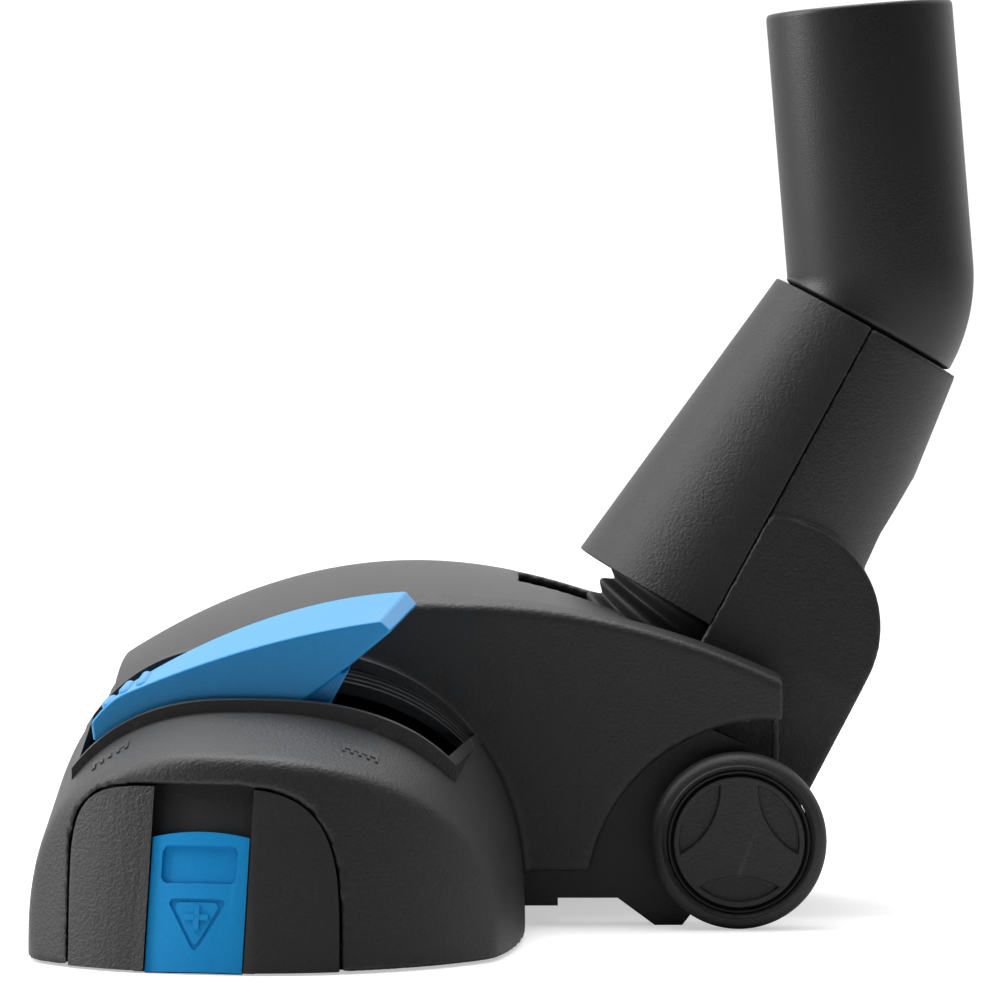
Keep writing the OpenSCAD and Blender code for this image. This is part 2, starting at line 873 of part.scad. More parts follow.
module wand_socket() {
    color(c_dark)
        elbow_start()
            rotate([0, -elbow_bend, 0])
                translate([elbow_r, 0, 0.01])
                    difference() {
                        cylinder(h = tube_len - 0.01, r = tube_r, $fn = 96);
                        translate([0, 0, -1])
                            cylinder(h = tube_len + 2, r = passage_r, $fn = 96);
                        translate([0, 0, tube_len - socket_depth])
                            cylinder(h = socket_depth + 1, r = socket_r, $fn = 96);
                    }
}
// Centre of the elbow's bend
module elbow_start() {
    neck_frame()
        translate([-elbow_r, 0, neck_len + 1.1])
            children();
}

upper_housing();
end_cap(-1);  // end_cap_left
end_cap(1);  // end_cap_right
slider(-1);  // slider_left
slider(1);  // slider_right
glide_plate();
base_plate();
lint_strips();
suction_duct();
rear_chassis();
axle(-1);  // axle_left
axle(1);  // axle_right
base_screws();
chassis_screws();
pedal();
pedal_axle();
pedal_spring();
brush_frame();
brush_strip(brush_x[0]);  // brush_strip_front
brush_strip(brush_x[1]);  // brush_strip_rear
squeegee_lip();
flexible_hose();
hose_ring();
neck_front_shell();
neck_rear_shell();
neck_screws();
swivel_clip();
swivel_seal();
swivel_elbow();
wand_socket();
wheel_tyre(-1);  // wheel_tyre_left
wheel_hub(-1);  // wheel_hub_left
wheel_cap(-1);  // wheel_cap_left
wheel_tyre(1);  // wheel_tyre_right
wheel_hub(1);  // wheel_hub_right
wheel_cap(1);  // wheel_cap_right
axle_clip(-1);  // axle_clip_left
axle_clip(1);  // axle_clip_right
slider_springs();
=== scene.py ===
"""Looks of a vacuum cleaner's floor head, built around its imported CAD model. Lengths are in millimetres."""
import math

import bmesh
import bpy
from mathutils import Matrix, Vector


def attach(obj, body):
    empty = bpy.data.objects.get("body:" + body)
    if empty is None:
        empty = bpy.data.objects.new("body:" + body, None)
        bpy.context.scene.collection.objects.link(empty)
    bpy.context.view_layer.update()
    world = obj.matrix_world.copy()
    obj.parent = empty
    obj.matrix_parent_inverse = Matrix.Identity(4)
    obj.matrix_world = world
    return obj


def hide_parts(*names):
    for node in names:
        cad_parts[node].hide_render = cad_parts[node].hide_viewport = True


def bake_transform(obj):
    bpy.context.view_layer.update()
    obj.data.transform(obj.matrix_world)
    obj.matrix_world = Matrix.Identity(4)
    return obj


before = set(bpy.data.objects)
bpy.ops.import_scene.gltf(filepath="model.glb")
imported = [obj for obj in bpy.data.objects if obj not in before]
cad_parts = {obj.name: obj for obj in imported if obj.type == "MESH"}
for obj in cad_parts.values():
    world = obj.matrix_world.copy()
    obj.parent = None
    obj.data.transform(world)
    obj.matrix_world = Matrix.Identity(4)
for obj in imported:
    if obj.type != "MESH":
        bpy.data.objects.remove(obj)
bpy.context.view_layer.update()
MM = 0.001

# The same measures as in the CAD
NOZZLE_FRONT, NOZZLE_REAR, NOZZLE_MID, NOZZLE_TOP = -96.4, 1.2, -56.0, 57.8
END_FALL, END_R, END_X, END_Y, END_DRAFT, END_LEAN = 0.27, 55.5, -50.0, 80.3, 14.0, 3.0
CORNER_Y, FRONT_BEND_Y, REAR_BEND_Y = 128.5, 104.0, 63.0
HEM_Z = 0.4
WALL = 2.4
BONNET_HALF_W, BONNET_TOP, BONNET_REAR, BONNET_FOOT = 50.0, 72.8, 54.6, 11.3
ARCH_X, ARCH_Z, ARCH_R = 51.4, 4.8, 37.5
SLOT = [(-86.6, -99.2), (-14.0, -99.2), (-9.0, -58.0), (-86.6, -58.0)]
NECK_SLOT_FRONT, NECK_SLOT_HALF, HOSE_GAP_FRONT, HOSE_GAP_HALF = 22.0, 33.6, 0.0, 20.0
CAP_X, CAP_HALF, CAP_TOP, CAP_POWERS = -61.0, 26.7, 35.5, (5.5, 3.4)
SLIDER_X, SLIDER_W, SLIDER_TOP = -12.6, 18.8, 27.5
WHEEL_X, WHEEL_Z, WHEEL_Y, WHEEL_R, WHEEL_W, HUB_R, CAP_R = 44.9, 18.0, 47.4, 18.0, 9.4, 14.7, 13.4
FOOT, LEAN, NECK_LEN, FOOT_R, TOP_R = (40.7, 62.6), 29.0, 68.5, 30.0, 21.5
KNEE, KNEE_R, BOSS_R = (53.1, 60.4), 22.4, 10.0
ELBOW_R, ELBOW_BEND, PASSAGE_R = 20.2, 33.8, 16.2
TUBE_R, TUBE_LEN, SOCKET_R, SOCKET_DEPTH = 19.8, 55.6, 17.6, 48.0
SPIGOT_HOLE_R = 19.1
AXLE_HOLE_R = 3.05
THROAT, THROAT_RISE, HOSE_TURN, HOSE_TURN_R, HOSE_R = (2.457, 36.316), 8.0, 53.0, 52.0, 21.0
PEDAL_Y0, PEDAL_W = -97.0, 37.0
RIM_T, STRIP_EDGE_Y, STRIP_FOOT_Y = 1.5, -57.1, -59.6


# ---------------------------------------------------------------- meshes
def piece(name, verts, faces, smooth=True):
    mesh = bpy.data.meshes.new(name)
    mesh.from_pydata([tuple(c * MM for c in v) for v in verts], [], faces)
    work = bmesh.new()
    work.from_mesh(mesh)
    bmesh.ops.recalc_face_normals(work, faces=work.faces)
    work.to_mesh(mesh)
    work.free()
    mesh.polygons.foreach_set("use_smooth", [smooth] * len(mesh.polygons))
    obj = bpy.data.objects.new(name, mesh)
    bpy.context.scene.collection.objects.link(obj)
    return obj


def skin(name, rings, smooth=True):
    """Closed solid through a row of outlines with the same number of points."""
    n = len(rings[0])
    verts = [p for ring in rings for p in ring]
    faces = [tuple(range(n)), tuple((len(rings) - 1) * n + i for i in reversed(range(n)))]
    for k in range(len(rings) - 1):
        for i in range(n):
            j = (i + 1) % n
            faces.append((k * n + i, (k + 1) * n + i, (k + 1) * n + j, k * n + j))
    return piece(name, verts, faces, smooth)


def lathe(name, profile, place, steps=96, smooth=True):
    """Ring-shaped solid from a closed profile of (radius, height), set in place by a function."""
    verts, faces = [], []
    for i in range(steps):
        a = 2 * math.pi * i / steps
        verts += [place(r * math.cos(a), r * math.sin(a), h) for r, h in profile]
    n = len(profile)
    for i in range(steps):
        for j in range(n):
            a, b = i * n, ((i + 1) % steps) * n
            faces.append((a + j, a + (j + 1) % n, b + (j + 1) % n, b + j))
    return piece(name, verts, faces, smooth)


def prism_y(name, outline, y0, y1):
    """Solid between two planes across Y from an outline of (x, z)."""
    return skin(name, [[(x, y0, z) for x, z in outline], [(x, y1, z) for x, z in outline]], smooth=False)


def prism_z(name, outline, z0, z1):
    return skin(name, [[(x, y, z0) for x, y in outline], [(x, y, z1) for x, y in outline]], smooth=False)


def block(name, low, high):
    (x0, y0, z0), (x1, y1, z1) = low, high
    return prism_z(name, [(x0, y0), (x1, y0), (x1, y1), (x0, y1)], z0, z1)


def disc(cx, cz, r, steps=64, start=0.0, end=360.0):
    full = end - start >= 360
    count = steps if full else steps + 1
    angles = [math.radians(start + (end - start) * i / steps) for i in range(count)]
    return [(cx + r * math.cos(a), cz + r * math.sin(a)) for a in angles]


def apply_all(obj):
    bpy.context.view_layer.update()
    depsgraph = bpy.context.evaluated_depsgraph_get()
    mesh = bpy.data.meshes.new_from_object(obj.evaluated_get(depsgraph))
    obj.modifiers.clear()
    old = obj.data
    obj.data = mesh
    bpy.data.meshes.remove(old)
    return obj


def combine(obj, other, how, keep=False):
    """Boolean of obj with another solid, which is used up unless it's kept."""
    tool = obj.modifiers.new("cut", "BOOLEAN")
    tool.operation = how
    tool.solver = "EXACT"
    tool.object = other
    apply_all(obj)
    if not keep:
        bpy.data.objects.remove(other)
    return obj


def cut(obj, *others):
    for other in others:
        combine(obj, other, "DIFFERENCE")
    return obj


def add(obj, *others):
    for other in others:
        combine(obj, other, "UNION")
    return obj


def soften(obj, voxel, rounds, factor=0.5):
    """Even mesh with rounded edges, as a moulding has."""
    tool = obj.modifiers.new("voxels", "REMESH")
    tool.mode = "VOXEL"
    tool.voxel_size = voxel * MM
    tool.use_smooth_shade = True
    if rounds:
        tool = obj.modifiers.new("rounding", "SMOOTH")
        tool.factor = factor
        tool.iterations = rounds
    return apply_all(obj)


def bevel(obj, width, segments=3, angle=30.0):
    weld = obj.modifiers.new("weld", "WELD")
    weld.merge_threshold = 0.00001
    tool = obj.modifiers.new("bevel", "BEVEL")
    tool.width = width * MM
    tool.segments = segments
    tool.limit_method = "ANGLE"
    tool.angle_limit = math.radians(angle)
    tool.harden_normals = True
    return obj


# ---------------------------------------------------------------- shapes shared with the CAD
def past(y, a, b):
    return min(1.0, max(0.0, (abs(y) - a) / (b - a)))


def ellipse_in(t):
    return 1 - math.sqrt(max(0.0, 1 - t * t))


def front_x(y):
    return NOZZLE_FRONT + 15 * ellipse_in(past(y, FRONT_BEND_Y, CORNER_Y))


def rear_x(y):
    return NOZZLE_REAR - 17.2 * ellipse_in(past(y, REAR_BEND_Y, CORNER_Y))


def top_z(y):
    return NOZZLE_TOP - END_FALL * max(0.0, abs(y) - 64)


def power(v, p):
    return math.copysign(abs(v) ** p, v)


def arch(x0, x1, xc, z0, zc, h, powers, steps):
    """Superellipse on a straight foot, with one power ahead of its middle and one behind."""
    points = [(x0, z0)]
    for i in range(steps + 1):
        a = math.radians(180 - 180 * i / steps)
        p = 2 / powers[0 if a > math.pi / 2 else 1]
        c = power(math.cos(a), p)
        points.append((xc + c * ((xc - x0) if c < 0 else (x1 - xc)), zc + (h - zc) * power(math.sin(a), p)))
    return points + [(x1, z0)]


def section(y, inset, z0):
    return arch(front_x(y) + inset, rear_x(y) - inset, NOZZLE_MID, z0, 3, top_z(y) - inset, (2.4, 2.4), 72)


def end_place(s):
    """Frame of an end's tilted face: z along the face, y outwards."""
    turn = Matrix.Rotation(math.radians(END_LEAN), 4, "Y")
    turn = turn @ Matrix.Rotation(math.radians(s * END_DRAFT), 4, "X")
    shift = Matrix.Translation((0, 0, -END_R * math.tan(math.radians(END_DRAFT))))
    whole = Matrix.Translation((END_X, s * END_Y, 0)) @ turn @ shift

    def place(x, y, z):
        return tuple(whole @ Vector((x, y, z)))
    return place


def end_limits(inset):
    """Convex block whose ends are the two bowed end faces."""
    points = []
    for s in (-1, 1):
        place = end_place(s)
        for z in (-20, 80):
            for x, y in disc(0, 0, END_R - inset, 120):
                points.append(place(x, y, z))
    obj = piece("limits", points, [])
    work = bmesh.new()
    work.from_mesh(obj.data)
    bmesh.ops.convex_hull(work, input=work.verts)
    bmesh.ops.delete(work, geom=[v for v in work.verts if not v.link_faces], context="VERTS")
    work.to_mesh(obj.data)
    work.free()
    return obj


def nozzle_solid(inset, z0):
    rows = [i * 3 for i in range(-47, 48)]
    body = skin("nozzle", [[(x, y, z) for x, z in section(y, inset, z0)] for y in rows])
    return combine(body, end_limits(inset), "INTERSECT")


def bonnet_edge(x):
    if x > -12:
        return 66.6 - 0.00357 * (x + 12) ** 2
    return bonnet_mid(x) - 5.7 - 1.5 * min(1.0, (-12 - x) / 48)


def bonnet_mid(x):
    if x < -84:
        return 47.0
    return max(BONNET_TOP - 0.0052 * (x + 22) ** 2, bonnet_edge(x) if x > -12 else 0)


def bonnet_solid(inset, z0):
    xs = [-86.2, -85, -83.6] + [-82 + 2 * i for i in range(69)]
    rings = []
    w = BONNET_HALF_W - inset
    for x in xs:
        e, m = bonnet_edge(x), bonnet_mid(x)
        at = min(max(x, xs[0] + inset), BONNET_REAR - inset)
        ys = [-w + 0.9 + (2 * w - 1.8) * i / 24 for i in range(25)]

        def height(y):
            edge_round = 0.5 if abs(y) > w - 1.5 else 0
            return e - inset + (m - e) * (1 - (y / w) ** 2) - edge_round
        ring = [(at, -w, z0), (at, -w, e - inset - 1.6)]
        ring += [(at, y, height(y)) for y in ys]
        ring += [(at, w, e - inset - 1.6), (at, w, z0)]
        rings.append(ring)
    return skin("bonnet", rings)


def nozzle_z(x, y):
    """Height of the nozzle's top over a point."""
    half = NOZZLE_MID - front_x(y) if x < NOZZLE_MID else rear_x(y) - NOZZLE_MID
    u = min(1.0, abs(x - NOZZLE_MID) / half)
    return 3 + (top_z(y) - 3) * (1 - u ** 2.4) ** (1 / 2.4)


def grown(outline, by):
    """The pedal slot's outline, larger by a margin."""
    (x0, y0), (x1, _), (x2, y1), _ = outline
    return [(x0 - by, y0 - by), (x1 + by, y0 - by), (x2 + by, y1 + by), (x0 - by, y1 + by)]


def neck_place(x, y, l):
    """Point from the neck's own frame: x towards its rear, l up its axis."""
    c, s = math.cos(math.radians(LEAN)), math.sin(math.radians(LEAN))
    return (FOOT[0] + c * x + s * l, y, FOOT[1] - s * x + c * l)


def neck_r(l):
    return FOOT_R - (FOOT_R - TOP_R) * l / NECK_LEN


# ---------------------------------------------------------------- pieces
def housing():
    shell = nozzle_solid(0, -12)
    soften(shell, 1.1, 14)
    cut(shell, block("below", (-120, -160, -40), (60, 160, HEM_Z)))
    add(shell, bonnet_solid(0, BONNET_FOOT))
    hollow = bonnet_solid(WALL, -2)
    for s in (-1, 1):
        y0, y1 = sorted((s * NECK_SLOT_HALF, s * (NECK_SLOT_HALF + 2)))
        cut(hollow, block("rib", (NECK_SLOT_FRONT - 2, y0, 44), (80, y1, 90)))
    cut(shell, nozzle_solid(WALL, -14), hollow)
    cut(shell, prism_z("slot", SLOT, 25, 90))
    cut(shell, block("neck_slot", (NECK_SLOT_FRONT, -NECK_SLOT_HALF, -10), (80, NECK_SLOT_HALF, 100)))
    gap = block("hose_gap", (HOSE_GAP_FRONT, -HOSE_GAP_HALF, 40), (NECK_SLOT_FRONT + 8, HOSE_GAP_HALF, 100))
    cut(shell, gap)
    for s in (-1, 1):
        y0, y1 = sorted((s * 34, s * 54))
        cut(shell, prism_y("arch", disc(ARCH_X, ARCH_Z, ARCH_R, 120), y0, y1))
        y0, y1 = sorted((s * 100, s * 146))
        outline = arch(CAP_X - CAP_HALF, CAP_X + CAP_HALF, CAP_X, -1, 3, CAP_TOP, CAP_POWERS, 40)
        cut(shell, prism_y("cap_hole", outline, y0, y1))
    soften(shell, 0.75, 3)
    shell.name = "housing_shell"
    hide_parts("upper_housing")
    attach(shell, "head")
    return shell


def pedal_rim():
    """Thin rim that stands proud round the pedal's slot, more so towards its rear."""
    def swell(x):
        return 1 + 0.5 * min(1.0, max(0.0, (x + 50) / 30))

    rim = prism_z("pedal_rim", grown(SLOT, RIM_T), 24, 80)
    cut(rim, prism_z("slot", SLOT, 20, 90))
    rise = []
    for y, lift in ((SLOT[0][1] - 1.8, 2.3), (SLOT[2][1] + 1.8, 0.7)):
        outline = section(y, 0, -5)
        rise.append([(x, y, z + lift * swell(x) if z > 3 else z) for x, z in outline])
    combine(rim, skin("rise", rise), "INTERSECT")
    cut(rim, nozzle_solid(1.4, -14))
    bevel(rim, 0.35, 3, 40)
    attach(rim, "head")
    return rim


def ribbed_strip():
    """Sloping strip with fine lengthwise ribs along the far side of the pedal's slot."""
    rings = []
    for i in range(33):
        x = -47 + 1.15 * i
        top = nozzle_z(x, SLOT[2][1]) - 0.1 - 0.05 * (-10 - x)
        ring = [(x, STRIP_EDGE_Y, top + 0.2), (x, STRIP_EDGE_Y, top - 6), (x, STRIP_FOOT_Y, top - 6)]
        for k in range(5):
            y, z = STRIP_FOOT_Y + 0.45 * k, top - 4 + 0.8 * k
            ring += [(x, y, z), (x, y, z + 0.55)]
        rings.append(ring)
    strip = skin("ribbed_strip", rings, smooth=False)
    bevel(strip, 0.12, 2, 50)
    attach(strip, "head")
    return strip


def surface_bars(name, bars, height):
    """Low raised bars on the nozzle's top, each given by its middle line, x0, y0, x1, y1, and its width."""
    parts = []
    for x0, y0, x1, y1, width in bars:
        length = math.hypot(x1 - x0, y1 - y0)
        nx, ny = -(y1 - y0) / length * width / 2, (x1 - x0) / length * width / 2
        base = [(x0 + nx, y0 + ny), (x1 + nx, y1 + ny), (x1 - nx, y1 - ny), (x0 - nx, y0 - ny)]
        rings = [[(x, y, nozzle_z(x, y) + h) for x, y in base] for h in (-0.6, height)]
        parts.append(skin(name, rings, smooth=False))
    return merged(name, parts)


def merged(name, parts):
    """One object from several, each a solid of its own."""
    work = bmesh.new()
    for part in parts:
        work.from_mesh(part.data)
        bpy.data.objects.remove(part)
    mesh = bpy.data.meshes.new(name)
    work.to_mesh(mesh)
    work.free()
    obj = bpy.data.objects.new(name, mesh)
    bpy.context.scene.collection.objects.link(obj)
    return obj


def comb_marks():
    """Two plain raised marks, each a bar with five teeth."""
    bars = []
    for x, y in ((-80, -109), (-31, -115)):
        bars.append((x - 3.6, y + 1.6, x + 3.6, y + 1.6, 2.4))
        bars += [(x - 3.2 + 1.6 * i, y - 1.4, x - 3.2 + 1.6 * i, y + 0.6, 0.6) for i in range(5)]
    marks = surface_bars("comb_marks", bars, 0.3)
    bevel(marks, 0.12, 2)
    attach(marks, "head")
    return marks


def end_slab(name, s, x0, x1, low, high, r0, r1, steps=24):
    """Solid between two bowed surfaces of an end, from a low to a high edge that may change along x."""
    place = end_place(s)
    rings = []
    for i in range(steps + 1):
        x = x0 + (x1 - x0) * i / steps
        at = SLIDER_X + x
        inner, outer = (s * math.sqrt(r * r - at * at) for r in (r0, r1))
        z0, z1 = low(x), high(x)
        rings.append([place(at, y, z) for y, z in ((inner, z0), (outer, z0), (outer, z1), (inner, z1))])
    return skin(name, rings, smooth=False)


def level(z):
    """An edge at one height."""
    return lambda x: z


def rounded(half, radius, z, way):
    """An edge at one height whose two corners are rounded, upwards (way 1) or downwards (way -1)."""
    def edge(x):
        past_corner = max(0.0, abs(x) - (half - radius))
        return z + way * (radius - math.sqrt(max(0.0, radius ** 2 - past_corner ** 2)))
    return edge


def end_cap(s, side):
    """End panel with its recessed track, and the dark wall at the back of the track."""
    inset = 0.35
    x0, x1 = CAP_X - CAP_HALF + inset, CAP_X + CAP_HALF - inset
    outline = arch(x0, x1, CAP_X, HEM_Z, 4, CAP_TOP - inset, CAP_POWERS, 48)
    y0, y1 = sorted((s * 100, s * 146))
    cap = prism_y("end_cap_face_" + side, outline, y0, y1)
    combine(cap, end_limits(0.1), "INTERSECT")
    cut(cap, end_limits(5.5))
    half = SLIDER_W / 2 + 0.3
    cut(cap, end_slab("track", s, -half, half, level(-20), level(60), END_R - 30, END_R + 4))
    back = end_slab("track_back_" + side, s, -half - 2, half + 2, level(HEM_Z + 0.4), level(CAP_TOP + 1.6),
                    END_R - 5.2, END_R - 3.1)
    bevel(cap, 0.45, 3)
    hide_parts("end_cap_" + side)
    for obj, slot in ((cap, "shell"), (back, "dark")):
        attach(obj, "head")
    return cap, back


def slider(s, side):
    half = SLIDER_W / 2

    def bowed_top(x):
        return SLIDER_TOP - 0.011 * x * x
    plate = end_slab("slider_face_" + side, s, -half, half, level(HEM_Z), bowed_top, END_R - 2.9, END_R - 0.9)
    face, deep = END_R + 4, END_R - 1.75
    z0, z1 = SLIDER_TOP - 10, SLIDER_TOP - 2.6
    window = 7.3
    low, high = rounded(window, 1.2, z0, 1), rounded(window, 1.2, z1, -1)
    cut(plate, end_slab("window", s, -window, window, low, high, deep, face))
    wide, top, tip = 5.4, 14.6, 4.6

    def mark(name, by, r0):
        """Triangle that stands on its rounded tip, drawn in by a margin."""
        half_top = wide - 1.7 * by
        slope = (top - tip - 2.6 * by) / half_top

        def rounded_tip(x):
            return tip + 1.6 * by + slope * math.sqrt(x * x + 0.35) - 0.59 * slope
        flat_top = rounded(half_top, 0.9, top - by, -1)
        return end_slab(name, s, -half_top, half_top, rounded_tip, flat_top, r0, face)

    groove = mark("groove", 0, END_R - 1.35)
    cut(groove, mark("island", 0.75, END_R - 3))
    cut(plate, groove)
    for w, a, b in ((2.3, 10.4, 11.5), (0.55, 8.5, 13.3)):
        add(plate, end_slab("plus", s, -w, w, level(a), level(b), END_R - 2, END_R - 0.55))
    bevel(plate, 0.2, 2)
    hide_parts("slider_" + side)
    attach(plate, "slider_%s_body" % side)
    return plate


def tread_z(x, far):
    """Height of the tread's near edge (far 0) or far edge (far 1), which stands higher towards its rear."""
    u = x + 78
    near_z = 51.2 + 0.43 * u - (0.07 if u < 0 else 0.0029) * u * u
    far_z = 51.3 + 0.605 * u - (0.07 if u < 0 else 0.005) * u * u
    return near_z + far * (far_z - near_z)


def pedal():
    sides = []
    for far, tip_x, tip_z in ((0, -25.3, 63.4), (1, -20.6, 66.7)):
        xs = [-84.5 + (tip_x - 2.3 + 84.5) * i / 60 for i in range(61)]
        outline = [(x, tread_z(x, far)) for x in xs]
        outline += [(tip_x, tip_z), (-33.2, 56.9), (-43.4, 49.2), (-60, 46.3), (-72, 43.3), (-84, 41.7)]
        sides.append([(x, PEDAL_Y0 + far * PEDAL_W, z) for x, z in outline])
    body = skin("pedal_shell", sides, smooth=False)
    stem = [(-61, 47.3), (-57, 35.7), (-46, 35.7), (-39.6, 44.7), (-33.6, 55.7)]
    add(body, prism_y("stem", stem, PEDAL_Y0 + 3.5, PEDAL_Y0 + PEDAL_W - 3.5))
    body.data.polygons.foreach_set("use_smooth", [True] * len(body.data.polygons))
    bevel(body, 0.7, 3, 25)
    ribs = []
    for i in range(3):
        x = -81.8 + 3.4 * i
        rows = []
        for y in (0, 1, 3, PEDAL_W - 14, PEDAL_W - 12, PEDAL_W - 11):
            r = 0.25 if y in (0, PEDAL_W - 11) else 0.95 if y in (3, PEDAL_W - 14) else 0.75
            across = 5 + y
            z = tread_z(x, across / PEDAL_W) - 0.1
            angles = [a * math.pi / 8 for a in range(16)]
            rows.append([(x + r * 1.2 * math.cos(a), PEDAL_Y0 + across, z + r * math.sin(a)) for a in angles])
        ribs.append(skin("rib", rows))
    grip = merged("pedal_grips", ribs)
    grip.data.polygons.foreach_set("use_smooth", [True] * len(grip.data.polygons))
    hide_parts("pedal")
    for obj in (body, grip):
        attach(obj, "pedal_body")
    return body, grip


def half_shell(name, side, profile, steps=48):
    """Half of a turned neck shell in front of (side -1) or behind (side 1) the parting plane."""
    rings = []
    for i in range(steps + 1):
        a = math.pi * i / steps
        rings.append([neck_place(side * (0.1 + r * math.sin(a)), -r * math.cos(a), l) for r, l in profile])
    return skin(name, rings)


def neck_front():
    rows = [-2 + 70.5 * i / 24 for i in range(25)]
    profile = [(neck_r(l), l) for l in rows]
    profile += [(SPIGOT_HOLE_R, NECK_LEN), (SPIGOT_HOLE_R, 61), (neck_r(60) - WALL, 59.5)]
    profile += [(neck_r(0) - WALL, 0), (neck_r(-2) - WALL, -2)]
    shell = half_shell("neck_front_face", -1, profile)
    bevel(shell, 0.35, 3, 35)
    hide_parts("neck_front_shell")
    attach(shell, "neck")
    return shell


def tangent_plate(big, big_r, small, small_r, steps=40):
    """Outline round two circles and their outer tangents."""
    dx, dz = big[0] - small[0], big[1] - small[1]
    away = math.atan2(dz, dx)
    half = math.acos((small_r - big_r) / math.hypot(dx, dz))
    points = []
    for i in range(steps + 1):
        a = away - half + 2 * half * i / steps
        points.append((big[0] + big_r * math.cos(a), big[1] + big_r * math.sin(a)))
    for i in range(steps + 1):
        a = away + half + (2 * math.pi - 2 * half) * i / steps
        points.append((small[0] + small_r * math.cos(a), small[1] + small_r * math.sin(a)))
    return points


def behind_seam(name, rise, start=0.1):
    """Block behind the neck's parting plane, whose sides follow the neck's taper."""
    def half_width(l):
        return (neck_r(l) if l > 0 else FOOT_R) + rise
    rings = [[neck_place(x, y * half_width(l), l) for x, y in ((start, -1), (90, -1), (90, 1), (start, 1))]
             for l in (-70, 0, 60)]
    return skin(name, rings, smooth=False)


def neck_rear():
    rows = [-2 + 70.5 * i / 24 for i in range(25)]
    profile = [(neck_r(l), l) for l in rows]
    profile += [(SPIGOT_HOLE_R, NECK_LEN), (SPIGOT_HOLE_R, 61), (neck_r(60) - 5, 56)]
    profile += [(neck_r(0) - 5, 0), (neck_r(-2) - 5, -2)]
    shell = half_shell("neck_rear_face", 1, profile)
    step = [(83.6, 90.2), (76.3, 78.9), (72.9, 71.7), (74.5, 65), (100, 65), (100, 90.2)]
    cut(shell, prism_y("step", step, -26, 26))
    inner = KNEE_R - WALL
    drum = prism_y("drum", disc(KNEE[0], KNEE[1], KNEE_R, 96), -FOOT_R + 0.3, FOOT_R - 0.3)
    combine(drum, behind_seam("half", -0.4, 0.12), "INTERSECT")
    cut(drum, prism_y("drum_hollow", disc(KNEE[0], KNEE[1], inner, 96), -27, 27))
    cut(drum, block("hose_room", (-20, -27.1, 0), (58, 27.1, KNEE[1] - 2)))
    soften(drum, 0.6, 1)
    add(shell, drum)
    cheeks = prism_y("cheeks", tangent_plate(KNEE, KNEE_R, (WHEEL_X, WHEEL_Z), BOSS_R), -34, 34)
    combine(cheeks, behind_seam("half", 0.35, 0.1), "INTERSECT")
    cut(cheeks, behind_seam("inner", -2.9, -1))
    add(shell, cheeks)
    cut(shell, prism_y("axle_hole", disc(WHEEL_X, WHEEL_Z, AXLE_HOLE_R), -40, 40))
    soften(shell, 0.6, 2)
    shell.name = "neck_rear_face"
    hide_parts("neck_rear_shell")
    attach(shell, "neck")
    return shell


def elbow():
    """Spigot, bend and wand tube as one pipe: outer wall up, rim, inner wall down."""
    start = NECK_LEN + 1.1
    bend = math.radians(ELBOW_BEND)

    def ring(r, along):
        if along < start:
            x, l, a = 0.0, along, 0.0
        elif along < start + ELBOW_R * bend:
            a = (along - start) / ELBOW_R
            x, l = ELBOW_R * (math.cos(a) - 1), start + ELBOW_R * math.sin(a)
        else:
            a, t = bend, along - start - ELBOW_R * bend
            x = ELBOW_R * (math.cos(a) - 1) - t * math.sin(a)
            l = start + ELBOW_R * math.sin(a) + t * math.cos(a)
        points = []
        for i in range(120):
            b = 2 * math.pi * i / 120
            u = r * math.cos(b)
            points.append(neck_place(x + u * math.cos(a), r * math.sin(b), l + u * math.sin(a)))
        return points
    top = start + ELBOW_R * bend + TUBE_LEN
    outer = [(18.6, 60), (18.6, 68.7), (19.2, 68.9), (19.6, 69.2), (TUBE_R, start)]
    outer += [(TUBE_R, start + ELBOW_R * bend * i / 16) for i in range(1, 17)]
    outer += [(TUBE_R, top - 1.2), (TUBE_R - 0.12, top - 0.5)]
    outer += [(TUBE_R - 0.4, top - 0.12), (TUBE_R - 0.8, top)]
    inner = [(SOCKET_R + 0.6, top), (SOCKET_R + 0.2, top - 0.25), (SOCKET_R, top - 0.8)]
    inner += [(SOCKET_R, top - SOCKET_DEPTH), (PASSAGE_R, top - SOCKET_DEPTH)]
    inner.append((PASSAGE_R, start + ELBOW_R * bend))
    inner += [(PASSAGE_R, start + ELBOW_R * bend * i / 16) for i in range(15, -1, -1)] + [(PASSAGE_R, 60)]
    rings = [ring(r, a) for r, a in outer + inner]
    n = len(rings[0])
    verts = [p for row in rings for p in row]
    faces = []
    for k in range(len(rings)):
        m = (k + 1) % len(rings)
        faces += [(k * n + i, k * n + (i + 1) % n, m * n + (i + 1) % n, m * n + i) for i in range(n)]
    tube = piece("wand_tube", verts, faces)
    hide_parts("swivel_elbow", "wand_socket")
    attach(tube, "elbow")
    return tube


